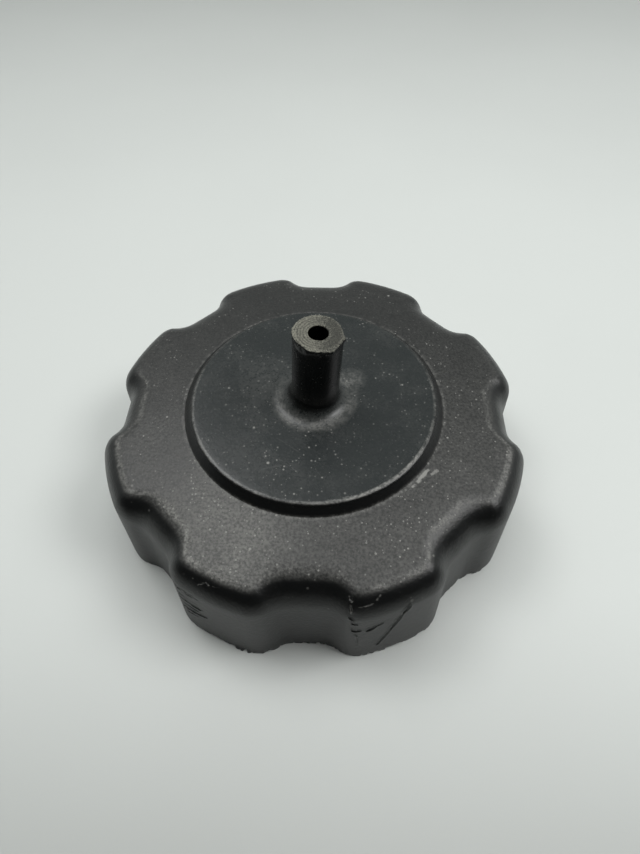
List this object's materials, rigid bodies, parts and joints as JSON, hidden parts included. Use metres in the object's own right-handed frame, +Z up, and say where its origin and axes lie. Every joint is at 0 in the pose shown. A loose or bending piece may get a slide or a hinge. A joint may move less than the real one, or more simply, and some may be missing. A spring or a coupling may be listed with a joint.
{
  "type": "fuel filler cap",
  "caption": "Screw-on black plastic fuel filler cap with a lobed grip, raised centre disc, vent spigot, internal neck thread and flat rubber gasket.",
  "frame": {"origin": "middle of the open rim that the cap stands on", "axes": "+Z up along the cap's axis, from the open rim towards the vent spigot; -Y through a notch of the grip; the spigot leans towards +X"},
  "size_m": [0.074, 0.074, 0.0383],
  "materials": {
    "moulded_plastic": "fine-grained black moulding, dusty and worn, smoother on the raised disc",
    "gasket_rubber": "flat black sealing rubber with a dull skin"
  },
  "bodies": {
    "root": {"cap_body": "moulded_plastic", "sealing_gasket": "gasket_rubber"}
  },
  "joints": []
}
